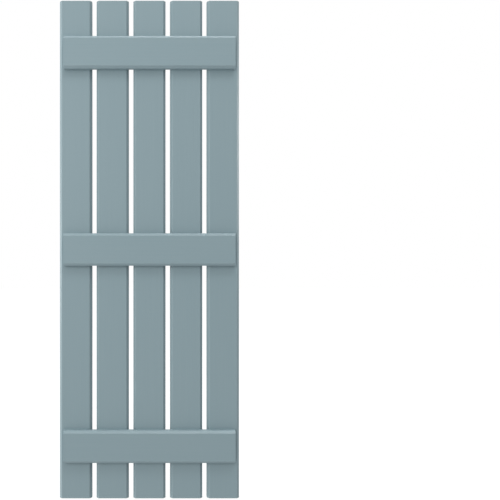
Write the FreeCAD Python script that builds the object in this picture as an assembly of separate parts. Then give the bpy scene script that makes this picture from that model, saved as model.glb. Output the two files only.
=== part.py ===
import FreeCAD, Part
import math
import os

# Spaced board and batten shutter for an outside wall, in painted timber.
# Upright boards stand a finger's width apart. Level battens cross their fronts,
# and each board is held to each batten by a pair of countersunk screws from behind.
# Millimetres. X runs to the viewer's right, Y from the front to the wall, Z up.
# The origin lies on the wall side, at the middle of the centre board's back.

# Upright boards, named from the viewer's left
BOARD_NAMES = (
    "left_outer_board",
    "left_inner_board",
    "centre_board",
    "right_inner_board",
    "right_outer_board",
)
BOARD_LENGTH = 1371.6
BOARD_WIDTH = 88.9
BOARD_THICKNESS = 19.05
BOARD_BEVEL = 6.35
BOARD_GAP = 12.7

# Level battens, named from the foot of the shutter
BATTEN_NAMES = ("bottom_batten", "middle_batten", "top_batten")
BATTEN_WIDTH = 88.9
BATTEN_THICKNESS = 19.05
BATTEN_BEVEL = 6.35
BATTEN_SIDE_INSET = 12.7    # outer board's edge to the batten's end
BATTEN_END_INSET = 101.6    # boards' end to the near edge of an outer batten

# The arrises along every stick are rubbed down before painting; its ends are cut square
ARRIS_RADIUS = 1.2

# Screw holes, bored from the boards' backs at each crossing
SCREW_EDGE_DISTANCE = 25.4  # from the board's and the batten's edges to a screw
SHANK_HOLE_DIAMETER = 4.6
COUNTERSINK_DIAMETER = 9.2
COUNTERSINK_ANGLE = 90.0    # degrees, across the whole cone
BORE_OVERRUN = 1.0          # how far the drill passes the wood at either end

ORIGIN = FreeCAD.Vector(0, 0, 0)
ALONG_Y = FreeCAD.Vector(0, 1, 0)
FULL_TURN = 360.0
QUARTER_TURN = 90.0

BOARD_PITCH = BOARD_WIDTH + BOARD_GAP
SHUTTER_WIDTH = len(BOARD_NAMES) * BOARD_PITCH - BOARD_GAP
BATTEN_LENGTH = SHUTTER_WIDTH - 2 * BATTEN_SIDE_INSET
BATTEN_RUN = BOARD_LENGTH - 2 * BATTEN_END_INSET - BATTEN_WIDTH
BATTEN_PITCH = BATTEN_RUN / (len(BATTEN_NAMES) - 1)


def spread(names, pitch):
    """Pair each name with its place on a row of that pitch, centred on the origin."""
    first = -pitch * (len(names) - 1) / 2
    return [(name, first + pitch * index) for index, name in enumerate(names)]


def milled_stock(width, thickness, bevel, length):
    """A planed stick, upright and centred, back on y = 0, with both front edges bevelled."""
    side = width / 2
    shoulder = bevel - thickness
    outline = [
        FreeCAD.Vector(-side, 0, 0),
        FreeCAD.Vector(side, 0, 0),
        FreeCAD.Vector(side, shoulder, 0),
        FreeCAD.Vector(side - bevel, -thickness, 0),
        FreeCAD.Vector(bevel - side, -thickness, 0),
        FreeCAD.Vector(-side, shoulder, 0),
    ]
    section = Part.Face(Part.makePolygon(outline + outline[:1]))
    stick = section.extrude(FreeCAD.Vector(0, 0, length))
    stick.translate(FreeCAD.Vector(0, 0, -length / 2))
    arrises = [edge for edge in stick.Edges if edge.Vertexes[0].Z != edge.Vertexes[1].Z]
    return stick.makeFillet(ARRIS_RADIUS, arrises)


def countersunk_bore():
    """The wood that drill and countersink take out of a board, entering at y = 0."""
    shank = SHANK_HOLE_DIAMETER / 2
    mouth = COUNTERSINK_DIAMETER / 2
    slope = math.tan(math.radians(COUNTERSINK_ANGLE / 2))
    sink_depth = (mouth - shank) / slope
    profile = [
        FreeCAD.Vector(0, BORE_OVERRUN, 0),
        FreeCAD.Vector(mouth + BORE_OVERRUN * slope, BORE_OVERRUN, 0),
        FreeCAD.Vector(shank, -sink_depth, 0),
        FreeCAD.Vector(shank, -BOARD_THICKNESS - BORE_OVERRUN, 0),
        FreeCAD.Vector(0, -BOARD_THICKNESS - BORE_OVERRUN, 0),
    ]
    return Part.Face(Part.makePolygon(profile + profile[:1])).revolve(ORIGIN, ALONG_Y, FULL_TURN)


def crossing_bores():
    """The bores of one board: a pair on a diagonal where each batten crosses it."""
    across = BOARD_WIDTH / 2 - SCREW_EDGE_DISTANCE
    rise = BATTEN_WIDTH / 2 - SCREW_EDGE_DISTANCE
    bores = []
    for _, height in spread(BATTEN_NAMES, BATTEN_PITCH):
        for way in (-1, 1):
            bore = countersunk_bore()
            bore.translate(FreeCAD.Vector(way * across, 0, height - way * rise))
            bores.append(bore)
    return bores


def upright_board(place):
    """One board, bored for its screws, with its middle at that place along X."""
    board = milled_stock(BOARD_WIDTH, BOARD_THICKNESS, BOARD_BEVEL, BOARD_LENGTH)
    board = board.cut(crossing_bores())
    board.translate(FreeCAD.Vector(place, 0, 0))
    return board


def level_batten(height):
    """One batten, laid across the boards' fronts with its middle at that height."""
    batten = milled_stock(BATTEN_WIDTH, BATTEN_THICKNESS, BATTEN_BEVEL, BATTEN_LENGTH)
    batten.rotate(ORIGIN, ALONG_Y, QUARTER_TURN)
    batten.translate(FreeCAD.Vector(0, -BOARD_THICKNESS, height))
    return batten


os.makedirs("parts", exist_ok=True)
for name, place in spread(BOARD_NAMES, BOARD_PITCH):
    upright_board(place).exportStep(f"parts/{name}.step")
for name, height in spread(BATTEN_NAMES, BATTEN_PITCH):
    level_batten(height).exportStep(f"parts/{name}.step")
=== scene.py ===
import math

import bpy
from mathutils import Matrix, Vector


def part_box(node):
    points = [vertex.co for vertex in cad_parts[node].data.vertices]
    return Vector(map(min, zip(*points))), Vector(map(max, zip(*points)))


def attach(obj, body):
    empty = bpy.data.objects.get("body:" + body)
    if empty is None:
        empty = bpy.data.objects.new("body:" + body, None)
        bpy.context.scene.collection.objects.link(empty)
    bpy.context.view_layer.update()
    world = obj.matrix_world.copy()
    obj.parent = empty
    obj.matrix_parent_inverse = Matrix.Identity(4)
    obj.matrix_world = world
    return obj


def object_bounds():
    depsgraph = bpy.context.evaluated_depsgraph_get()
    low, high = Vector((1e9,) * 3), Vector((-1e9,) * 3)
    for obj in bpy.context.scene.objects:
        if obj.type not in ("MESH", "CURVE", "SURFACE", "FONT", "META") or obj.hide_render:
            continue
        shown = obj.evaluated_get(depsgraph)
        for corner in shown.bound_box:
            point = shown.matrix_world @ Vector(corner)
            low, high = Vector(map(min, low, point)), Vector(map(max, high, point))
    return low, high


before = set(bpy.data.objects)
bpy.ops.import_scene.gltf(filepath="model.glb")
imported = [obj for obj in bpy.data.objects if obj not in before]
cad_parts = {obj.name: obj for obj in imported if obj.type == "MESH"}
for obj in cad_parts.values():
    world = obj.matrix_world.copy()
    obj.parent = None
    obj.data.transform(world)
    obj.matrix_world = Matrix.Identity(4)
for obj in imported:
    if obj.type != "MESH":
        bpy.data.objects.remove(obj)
cad_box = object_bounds()

# Upright boards: five planed softwood boards, both front edges bevelled and the ends cut
# square. Each is primed, then brushed along the grain with two coats of satin outdoor
# paint, which keeps faint ridges, draws thin on the arrises and sinks into the end grain.
BOARDS = (
    "left_outer_board",
    "left_inner_board",
    "centre_board",
    "right_inner_board",
    "right_outer_board",
)
BEVEL = 0.00635
FULL_COAT = (0.2455, 0.3380, 0.3715, 1)
THIN_COAT = (0.2690, 0.3580, 0.3880, 1) # where the bristles or an arris left less paint
SUNK_COAT = (0.2080, 0.2910, 0.3220, 1) # drawn into the end grain
EVEN_COVER = 0.62                       # the usual coat, from thin at 0 to full at 1
BRISTLE_COVER = 1.1                     # how much each kind of mark changes the coat
FILM_COVER = 0.5
ARRIS_COVER = 0.5
WALL_COVER = 0.15                       # the back has less paint, and least over its late wood
WALL_RING_COVER = 0.9
END_SINK = 0.55                         # the cut ends drink it in, and most in their late wood
END_RING_SINK = 0.45
SATIN = 0.41                            # roughness of the dry film, and what changes it
BRISTLE_ROUGH = 0.10
FILM_ROUGH = 0.08
END_ROUGH = 0.2
WALL_ROUGH = 0.06
RING_SPACING = 0.0042                   # growth rings, across the stick
LATE_WOOD = 2.2                         # how narrow each ring's hard band is
PITH_DEPTH = 0.034                      # from a stick's back forward to the pith, at the least
PITH_WANDER = 0.012                     # how far that depth drifts along the stick
FIRST_DRAW = 4.0                        # where the sticks' random draws start
STICK_APART = 3.7                       # metres between two sticks' places in the drift
DRIFT_GRAIN = 1.9                       # bends of the pith to a metre
YEARS_GRAIN = 160                       # how often good and poor years change, to a metre
WANDER_GRAIN = (14, 14, 2.2)            # marks to a metre: across, through and along the stick
FIBRE_GRAIN = (1500, 1500, 34)
BRISTLE_GRAIN = (620, 620, 4.5)
FILM_GRAIN = (11, 11, 3.5)
SIMPLE, COARSE, FINE = 1.0, 2.0, 3.0    # how much detail a noise has
RING_RELIEF = 2.5e-5                    # how far each kind of mark stands up, in metres
END_RELIEF = 8.0e-5
FIBRE_RELIEF = 5.0e-5
BRISTLE_RELIEF = 1.0e-4
ARRIS_NEAR, ARRIS_FAR = 0.0003, 0.0015  # from an arris to the ends of its thin band
SQUARE_ON = 0.8                         # how squarely a face must look along an axis to count
MIDDLE = 0.5                            # of a noise that runs from 0 to 1
WAVE = 2 * math.pi


class Shade:
    """A value in a node tree. Sums of values add Math nodes, and node() adds any other."""

    def __init__(self, tree, socket=None):
        self.tree = tree
        self.socket = socket

    def node(self, kind, settings=None, sockets=None, out=0):
        """Add a node: its settings first, then its sockets' values or links."""
        made = self.tree.nodes.new(kind)
        for name, value in (settings or {}).items():
            setattr(made, name, value)
        named = {socket.identifier: socket for socket in made.inputs}
        for name, value in (sockets or {}).items():
            for one in value if isinstance(value, list) else [value]:
                if isinstance(one, Shade):
                    self.tree.links.new(one.socket, named[name])
                else:
                    named[name].default_value = one
        if isinstance(out, tuple):
            return [Shade(self.tree, made.outputs[name]) for name in out]
        return Shade(self.tree, made.outputs[out])

    def maths(self, operation, *values):
        sockets = dict(zip(("Value", "Value_001", "Value_002"), values))
        return self.node("ShaderNodeMath", {"operation": operation}, sockets)

    def __add__(self, other):
        return self.maths("ADD", self, other)

    def __radd__(self, other):
        return self.maths("ADD", other, self)

    def __sub__(self, other):
        return self.maths("SUBTRACT", self, other)

    def __rsub__(self, other):
        return self.maths("SUBTRACT", other, self)

    def __mul__(self, other):
        return self.maths("MULTIPLY", self, other)

    def __rmul__(self, other):
        return self.maths("MULTIPLY", other, self)

    def __truediv__(self, other):
        return self.maths("DIVIDE", self, other)

    def __rtruediv__(self, other):
        return self.maths("DIVIDE", other, self)

    def __abs__(self):
        return self.maths("ABSOLUTE", self)

    def least(self, other):
        """The smaller of two values."""
        return self.maths("MINIMUM", self, other)

    def most(self, other):
        """The larger of two values."""
        return self.maths("MAXIMUM", self, other)

    def above(self, limit):
        """1 where this value is over the limit, and 0 elsewhere."""
        return self.maths("GREATER_THAN", self, limit)

    def distance(self, other):
        """How far the point at these two measures lies from the origin."""
        return self.maths("SQRT", self * self + other * other)

    def split(self):
        """The three values of this place or way."""
        return self.node("ShaderNodeSeparateXYZ", {}, {"Vector": self}, ("X", "Y", "Z"))

    def towards(self, way):
        """How squarely this direction looks along that way."""
        sockets = {"Vector": self, "Vector_001": way}
        return self.node("ShaderNodeVectorMath", {"operation": "DOT_PRODUCT"}, sockets, "Value")

    def grain(self, scale, detail):
        """Noise from -0.5 to 0.5 over this place, drawn out by a scale for each way."""
        spot = self.node("ShaderNodeMapping", {}, {"Vector": self, "Scale": scale})
        sockets = {"Vector": spot, "Scale": 1.0, "Detail": detail}
        return self.node("ShaderNodeTexNoise", {}, sockets, "Fac") - MIDDLE

    def waver(self, scale):
        """Noise from 0 to 1 along this one measure."""
        sockets = {"W": self, "Scale": scale, "Detail": SIMPLE}
        return self.node("ShaderNodeTexNoise", {"noise_dimensions": "1D"}, sockets, "Fac")

    def fade(self, full, none):
        """1 up to the first value, easing to 0 at the second."""
        sockets = {"Value": self, "From Min": full, "From Max": none, "To Min": 1.0, "To Max": 0.0}
        return self.node("ShaderNodeMapRange", {"interpolation_type": "SMOOTHSTEP"}, sockets)

    def blend(self, first, second):
        """The first colour where this value is 0 and the second where it is 1."""
        sockets = {"Factor_Float": self, "A_Color": first, "B_Color": second}
        colour_out = 2
        return self.node("ShaderNodeMix", {"data_type": "RGBA"}, sockets, colour_out)

    def relief(self):
        """The way a surface faces once it stands up by this height, in metres."""
        return self.node("ShaderNodeBump", {}, {"Height": self, "Distance": 1.0, "Strength": 1.0})


def finish_tree(name):
    """A new material and its empty node tree."""
    material = bpy.data.materials.new(name)
    material.use_nodes = True
    material.node_tree.nodes.clear()
    return material, Shade(material.node_tree)


def growth_rings(place, stick, middle, half, back):
    """Late wood, 0 to 1, in rings round a pith that wanders along each stick's own length."""
    _, depth, along = place.split()
    chance = place.node("ShaderNodeTexWhiteNoise", {"noise_dimensions": "1D"},
                        {"W": stick + FIRST_DRAW}, "Color")
    aside, deep, _ = chance.split()
    drift = (along + stick * STICK_APART).waver(DRIFT_GRAIN) - MIDDLE
    from_pith = middle + (aside - MIDDLE + drift) * half
    wander = PITH_WANDER * place.grain(WANDER_GRAIN, COARSE)
    radius = from_pith.distance(depth - back + PITH_DEPTH * (1 + deep) + wander)
    turns = radius * (WAVE / RING_SPACING) + WAVE * radius.waver(YEARS_GRAIN)
    season = (1 + place.maths("SINE", turns)) / 2
    return place.maths("POWER", season, LATE_WOOD)


def painted_timber(name, sample, next_one, turn):
    """Satin paint on like sticks a pitch apart, whose grain lies along Z once turned about Y."""
    low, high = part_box(sample)
    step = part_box(next_one)[0] - low
    upright = turn == 0
    pitch = step.x if upright else step.z
    half = ((high.x - low.x) if upright else (high.z - low.z)) / 2
    end_way = (0, 0, 1) if upright else (1, 0, 0)
    wall_way = (0, 1, 0)
    material, paint = finish_tree(name)

    place = paint.node("ShaderNodeTexCoord", out="Object")
    place = paint.node("ShaderNodeMapping", {}, {"Vector": place, "Rotation": (0, turn, 0)})
    across, depth, _ = place.split()
    stick = paint.maths("ROUND", across / pitch)
    middle = across - stick * pitch

    # Growth rings, wood fibres, bristle marks and the uneven film, drawn out along the grain
    rings = growth_rings(place, stick, middle, half, high.y)
    fibres = place.grain(FIBRE_GRAIN, COARSE)
    bristles = place.grain(BRISTLE_GRAIN, FINE)
    film = place.grain(FILM_GRAIN, COARSE)

    # Arrises, where the wet film draws back, and the faces that take the paint differently
    side = abs(middle)
    from_back = (side - half).distance(depth - high.y)
    from_shoulder = (side - half).distance(depth - (low.y + BEVEL))
    from_front = (side - (half - BEVEL)).distance(depth - low.y)
    arris = from_back.least(from_shoulder).least(from_front).fade(ARRIS_NEAR, ARRIS_FAR)
    facing = paint.node("ShaderNodeTexCoord", out="Normal")
    end = abs(facing.towards(end_way)).above(SQUARE_ON)
    wall_side = facing.towards(wall_way).above(SQUARE_ON)

    cover = EVEN_COVER + BRISTLE_COVER * bristles + FILM_COVER * film - ARRIS_COVER * arris \
        - wall_side * (WALL_COVER + WALL_RING_COVER * rings)
    sunk = end * (END_SINK + END_RING_SINK * rings)
    colour = sunk.blend(cover.blend(THIN_COAT, FULL_COAT), SUNK_COAT)
    roughness = SATIN + BRISTLE_ROUGH * bristles + FILM_ROUGH * film \
        + END_ROUGH * end + WALL_ROUGH * wall_side
    height = rings * (RING_RELIEF + END_RELIEF * end) \
        + FIBRE_RELIEF * fibres + BRISTLE_RELIEF * bristles
    surface = paint.node("ShaderNodeBsdfPrincipled", {}, {
        "Base Color": colour, "Roughness": roughness, "Normal": height.relief()})
    paint.node("ShaderNodeOutputMaterial", {}, {"Surface": surface}, ())
    return material


def dress(names, material):
    """Give the named sticks their finish."""
    for name in names:
        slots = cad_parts[name].data.materials
        slots.clear()
        slots.append(material)


dress(BOARDS, painted_timber("painted_board", "centre_board", "right_inner_board", 0))

# Level battens: three lengths of the same bevelled stock, laid across the boards' fronts
# and painted with them. Their grain and brush marks run level, and their ends are sawn.
BATTENS = ("bottom_batten", "middle_batten", "top_batten")
QUARTER_TURN = math.radians(90)

dress(BATTENS, painted_timber("painted_batten", "middle_batten", "top_batten", QUARTER_TURN))

# Screws: a pair of stainless countersunk wood screws at every crossing, driven from the
# back through the board into the batten. Their heads lie just under the board's face, and
# each cross recess stops at its own angle.
HEAD_DIAMETER = 0.0084
SHANK_DIAMETER = 0.0042
CORE_DIAMETER = 0.0029
SCREW_LENGTH = 0.03175
POINT_LENGTH = 0.0044
THREAD_TURNS = 7
THREAD_PITCH = 0.0026
RECESS_SPAN = 0.0046
RECESS_WIDTH = 0.0012
RECESS_DEPTH = 0.0021
RECESS_TAPER = 0.6                      # the recess's span at its floor, as a share of its mouth's
HALF_DIAGONAL = math.sqrt(0.5)          # of a square, as a share of its side
SUNK_BELOW = 0.0004
EDGE_DISTANCE = 0.0254                  # from the board's and the batten's edges to a screw
SCREW_SIDES = 40
TURN_SIDES = 14
BLADE_SIDES = 4
RIDGE_SIDES = 3
WELD_WITHIN = 1.0e-6                    # points of the blank this near become one
STOP_SEED = 7                           # draws the angle at which each screw stops
SMOOTH_BELOW = math.radians(30)
STEEL = (0.56, 0.56, 0.55, 1)
# Painted shade: the steel is coloured darker down the cross recess towards its floor. The stains are
# the steel's own.
STAINED_AND_SHADED_STEEL = (0.21, 0.21, 0.205, 1)
RECESS_PAINTED_SHADE, STAIN_DARK = 0.8, 0.3      # how far recess and stains darken the steel
STEEL_ROUGH = 0.3
RECESS_ROUGH, STAIN_ROUGH = 0.15, 0.16
DULL_FROM, DULL_TO = -0.0014, -0.0001   # heights between which a recess turns bright
TOOL_MARK = 0.00022                     # between the rings that the lathe left on a head
TOOL_RELIEF, STAIN_RELIEF = 2.0e-6, 4.0e-6
STAIN_GRAIN = (900, 900, 900)


def turned_steel():
    """Stainless steel with the lathe's rings on the head, and a rougher recess with painted shade in
    it.
    """
    material, steel = finish_tree("turned_steel")
    spot = steel.node("ShaderNodeAttribute", {"attribute_name": "on_screw"}, {}, "Vector")
    x, y, z = spot.split()
    stain = steel.node("ShaderNodeTexCoord", out="Object").grain(STAIN_GRAIN, FINE)
    rings = steel.maths("SINE", x.distance(y) * (WAVE / TOOL_MARK))
    # Painted shade: the recess is coloured darker from its rim down to its floor, and it is rougher
    # as well.
    recess = z.fade(DULL_FROM, DULL_TO)
    colour = (RECESS_PAINTED_SHADE * recess + STAIN_DARK * stain).blend(STEEL, STAINED_AND_SHADED_STEEL)
    roughness = STEEL_ROUGH + STAIN_ROUGH * stain + RECESS_ROUGH * recess
    height = TOOL_RELIEF * rings + STAIN_RELIEF * stain
    surface = steel.node("ShaderNodeBsdfPrincipled", {}, {
        "Base Color": colour, "Roughness": roughness, "Normal": height.relief(), "Metallic": 1.0})
    steel.node("ShaderNodeOutputMaterial", {}, {"Surface": surface}, ())
    return material


def screw_tree(sizes):
    """The nodes that make one screw and drive it at both ends of a diagonal at each crossing."""
    tree = bpy.data.node_groups.new("shutter_screws", "GeometryNodeTree")
    tree.interface.new_socket("Screws", in_out="OUTPUT", socket_type="NodeSocketGeometry")
    for name, value in sizes.items():
        kind = "NodeSocketInt" if isinstance(value, int) else "NodeSocketFloat"
        tree.interface.new_socket(name, in_out="INPUT", socket_type=kind)
    work = Shade(tree)
    given = {name: work.node("NodeGroupInput", out=name) for name in sizes}

    def shift(shape, x=0.0, y=0.0, z=0.0, turn=(0, 0, 0)):
        by = work.node("ShaderNodeCombineXYZ", {}, {"X": x, "Y": y, "Z": z})
        return work.node("GeometryNodeTransform", {}, {
            "Geometry": shape, "Translation": by, "Rotation": turn})

    def cone(fill, sides, top, foot, depth):
        return work.node("GeometryNodeMeshCone", {"fill_type": fill}, {
            "Vertices": sides, "Radius Top": top, "Radius Bottom": foot, "Depth": depth})

    # The turned blank, from the head's face at z = 0 down to the point
    head = given["Head diameter"] / 2
    shank = given["Shank diameter"] / 2
    core = given["Core diameter"] / 2
    length = given["Length"]
    point_start = length - given["Point length"]
    thread_length = given["Thread turns"] * given["Thread pitch"]
    shank_end = point_start - thread_length
    face = work.node("GeometryNodeMeshCircle", {"fill_type": "NGON"}, {
        "Vertices": SCREW_SIDES, "Radius": head})
    lengths = [face]
    stations = (
        (0.0, head),
        (head - shank, shank),
        (shank_end, shank),
        (shank_end + (shank - core), core),
        (point_start, core),
        (length, 0.0),
    )
    for (start, wide), (stop, narrow) in zip(stations, stations[1:]):
        lengths.append(shift(cone("NONE", SCREW_SIDES, wide, narrow, stop - start), z=0 - stop))
    blank = work.node("GeometryNodeJoinGeometry", {}, {"Geometry": lengths})
    blank = work.node("GeometryNodeMergeByDistance", {}, {
        "Geometry": blank, "Distance": WELD_WITHIN})

    # The cross recess, punched by two crossed blades. A blade is half above the head's face,
    # and tapers all the way down.
    depth = given["Recess depth"]
    corner = given["Recess span"] * HALF_DIAGONAL
    blade = cone("NGON", BLADE_SIDES, corner * (2 - RECESS_TAPER), corner * RECESS_TAPER, depth * 2)
    blade = shift(blade, z=0 - depth, turn=(0, 0, QUARTER_TURN / 2))
    slim = work.node("ShaderNodeCombineXYZ", {}, {
        "X": 1.0, "Y": given["Recess width"] / given["Recess span"], "Z": 1.0})
    blade = work.node("GeometryNodeTransform", {}, {"Geometry": blade, "Scale": slim})
    crossed = shift(blade, turn=(0, 0, QUARTER_TURN))
    blank = work.node("GeometryNodeMeshBoolean", {"operation": "DIFFERENCE", "solver": "EXACT"}, {
        "Mesh 1": blank, "Mesh 2": [blade, crossed]}, "Mesh")

    # The rolled thread, a three-sided ridge wound on the core
    helix = work.node("GeometryNodeCurveSpiral", {}, {
        "Resolution": TURN_SIDES, "Rotations": given["Thread turns"], "Start Radius": core,
        "End Radius": core, "Height": thread_length})
    ridge = work.node("GeometryNodeCurvePrimitiveCircle", {"mode": "RADIUS"}, {
        "Resolution": RIDGE_SIDES, "Radius": shank - core}, "Curve")
    thread = work.node("GeometryNodeCurveToMesh", {}, {
        "Curve": helix, "Profile Curve": ridge, "Fill Caps": True})
    thread = shift(thread, z=0 - point_start)
    screw = work.node("GeometryNodeJoinGeometry", {}, {"Geometry": [blank, thread]})
    own_place = work.node("GeometryNodeInputPosition")
    kept_place = {"data_type": "FLOAT_VECTOR", "domain": "POINT"}
    screw = work.node("GeometryNodeStoreNamedAttribute", kept_place, {
        "Geometry": screw, "Name": "on_screw", "Value": own_place})

    # Two screws on a diagonal at each crossing, driven from the back
    crossings = work.node("GeometryNodeMeshGrid", {}, {
        "Size X": given["Board pitch"] * (given["Boards"] - 1),
        "Size Y": given["Batten pitch"] * (given["Battens"] - 1),
        "Vertices X": given["Boards"], "Vertices Y": given["Battens"]}, "Mesh")
    crossings = shift(crossings, turn=(QUARTER_TURN, 0, 0))
    pairs = []
    for way in (-1, 1):
        across = way * given["Across"]
        rise = 0 - way * given["Rise"]
        pairs.append(shift(crossings, x=across, y=0 - given["Sunk below"], z=rise))
    places = work.node("GeometryNodeJoinGeometry", {}, {"Geometry": pairs})
    angle = work.node("FunctionNodeRandomValue", {"data_type": "FLOAT_VECTOR"}, {
        "Min": (-QUARTER_TURN, 0, 0), "Max": (-QUARTER_TURN, WAVE, 0), "Seed": given["Seed"]})
    driven = work.node("GeometryNodeInstanceOnPoints", {}, {
        "Points": places, "Instance": screw, "Rotation": angle})
    driven = work.node("GeometryNodeRealizeInstances", {}, {"Geometry": driven})
    driven = work.node("GeometryNodeSetMaterial", {}, {
        "Geometry": driven, "Material": turned_steel()})
    work.node("NodeGroupOutput", {}, {tree.interface.items_tree["Screws"].identifier: driven}, ())
    return tree


board_low, board_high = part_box("centre_board")
batten_low, batten_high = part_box("middle_batten")
screw_sizes = {
    "Head diameter": HEAD_DIAMETER,
    "Shank diameter": SHANK_DIAMETER,
    "Core diameter": CORE_DIAMETER,
    "Length": SCREW_LENGTH,
    "Point length": POINT_LENGTH,
    "Thread turns": THREAD_TURNS,
    "Thread pitch": THREAD_PITCH,
    "Recess span": RECESS_SPAN,
    "Recess width": RECESS_WIDTH,
    "Recess depth": RECESS_DEPTH,
    "Sunk below": SUNK_BELOW,
    "Boards": len(BOARDS),
    "Battens": len(BATTENS),
    "Board pitch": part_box("right_inner_board")[0].x - board_low.x,
    "Batten pitch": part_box("top_batten")[0].z - batten_low.z,
    "Across": (board_high.x - board_low.x) / 2 - EDGE_DISTANCE,
    "Rise": (batten_high.z - batten_low.z) / 2 - EDGE_DISTANCE,
    "Seed": STOP_SEED,
}
screws = bpy.data.objects.new("screws", bpy.data.meshes.new("screws"))
bpy.context.scene.collection.objects.link(screws)
fixing = screws.modifiers.new("fixing", "NODES")
fixing.node_group = screw_tree(screw_sizes)
for socket in fixing.node_group.interface.items_tree:
    if socket.in_out == "INPUT":
        fixing[socket.identifier] = screw_sizes[socket.name]
graph = bpy.context.evaluated_depsgraph_get()
screws.data = bpy.data.meshes.new_from_object(screws.evaluated_get(graph), depsgraph=graph)
screws.modifiers.clear()
screws.data.shade_smooth()
screws.data.set_sharp_from_angle(angle=SMOOTH_BELOW)
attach(screws, "root")

# Floor: a wide sheet of pale matt paper that the shutter stands on. It is lit from below
# as well, so that it stays as light as the studio round it and takes only a faint shadow.
FLOOR_REACH = 9.0
FLOOR_CLEARANCE = 0.0004
FLOOR_CORNERS = ((-1, -1), (1, -1), (1, 1), (-1, 1))
FLOOR_WHITE = (0.20, 0.20, 0.20, 1)
FLOOR_GLOW = 0.84
FULL_WHITE = (1, 1, 1, 1)
PAPER_ROUGH, FIBRE_ROUGH = 0.9, 0.1
PAPER_GRAIN = (40, 40, 40)

floor_level = cad_box[0].z - FLOOR_CLEARANCE
sheet_corners = [(x * FLOOR_REACH, y * FLOOR_REACH, floor_level) for x, y in FLOOR_CORNERS]
floor_mesh = bpy.data.meshes.new("floor")
floor_mesh.from_pydata(sheet_corners, [], [(0, 1, 2, 3)])
floor = bpy.data.objects.new("floor", floor_mesh)
bpy.context.scene.collection.objects.link(floor)
floor_paper, paper = finish_tree("floor_paper")
fibre = paper.node("ShaderNodeTexCoord", out="Object").grain(PAPER_GRAIN, FINE)
sheet = paper.node("ShaderNodeBsdfPrincipled", {}, {
    "Base Color": FLOOR_WHITE, "Roughness": PAPER_ROUGH + FIBRE_ROUGH * fibre,
    "Specular IOR Level": 0.0, "Emission Color": FULL_WHITE, "Emission Strength": FLOOR_GLOW})
paper.node("ShaderNodeOutputMaterial", {}, {"Surface": sheet}, ())
floor_mesh.materials.append(floor_paper)
floor.visible_diffuse = False
floor.visible_glossy = False
floor.visible_shadow = False

# Studio: soft white surroundings, brighter above, below and to the left. Large round lamps
# stand in front on the left, high in front, overhead, high behind, and at each side, where
# they catch the outer bevels.
SURROUND = 0.141
FROM_LEFT, FROM_FRONT = 0.774, 0.128
FROM_ABOVE, FROM_BELOW = 0.824, 0.603
LAMP_SIZE = 0.9
LAMPS = (                               # azimuth and elevation in degrees, metres away, watts
    ("front_left_lamp", -40, 15, 2.4, 12.0),
    ("high_lamp", 20, 60, 3.2, 17.2),
    ("overhead_lamp", 90, 87, 3.2, 17.6),
    ("left_lamp", -92, 0, 2.4, 7.9),
    ("right_lamp", 100, 15, 2.4, 13.8),
    ("back_lamp", 180, 45, 3.2, 16.0),
)

studio = bpy.data.worlds.new("studio")
studio.use_nodes = True
studio.node_tree.nodes.clear()
bpy.context.scene.world = studio
air = Shade(studio.node_tree)
right, back, up = air.node("ShaderNodeTexCoord", out="Generated").split()
glow = SURROUND + FROM_LEFT * (0 - right).most(0.0) + FROM_FRONT * (0 - back).most(0.0) \
    + FROM_ABOVE * up.most(0.0) + FROM_BELOW * (0 - up).most(0.0)
soft = air.node("ShaderNodeBackground", {}, {"Strength": glow, "Color": FULL_WHITE})
white = air.node("ShaderNodeBackground", {}, {"Strength": 1.0, "Color": FULL_WHITE})
seen = air.node("ShaderNodeLightPath", out="Is Camera Ray")
backing = air.node("ShaderNodeMixShader", {}, {"Fac": seen, "Shader": soft, "Shader_001": white})
air.node("ShaderNodeOutputWorld", {}, {"Surface": backing}, ())

for name, azimuth, elevation, distance, power in LAMPS:
    lamp = bpy.data.objects.new(name, bpy.data.lights.new(name, "AREA"))
    bpy.context.scene.collection.objects.link(lamp)
    lamp.data.shape = "DISK"
    lamp.data.size = LAMP_SIZE
    lamp.data.energy = power
    turn = math.radians(azimuth)
    rise = math.radians(elevation)
    way = Vector((math.sin(turn) * math.cos(rise), -math.cos(turn) * math.cos(rise), math.sin(rise)))
    lamp.location = distance * way
    lamp.rotation_euler = (-way).to_track_quat("-Z", "Y").to_euler()
    lamp.visible_camera = False

# Camera: square to the shutter at half its height, 1.66 m in front of the boards, with the
# frame shifted so that the shutter stands left of the middle.
CAMERA_PLACE = (0, -1.68275, -0.0013)
CAMERA_LENS = 43.456
CAMERA_SENSOR = 36
CAMERA_SHIFT = 0.2011

camera = bpy.data.objects.new("camera", bpy.data.cameras.new("camera"))
bpy.context.scene.collection.objects.link(camera)
camera.location = CAMERA_PLACE
camera.rotation_euler = (QUARTER_TURN, 0, 0)
camera.data.sensor_width = CAMERA_SENSOR
camera.data.lens = CAMERA_LENS
camera.data.shift_x = CAMERA_SHIFT
bpy.context.scene.camera = camera
bpy.context.scene.view_settings.view_transform = "Standard"
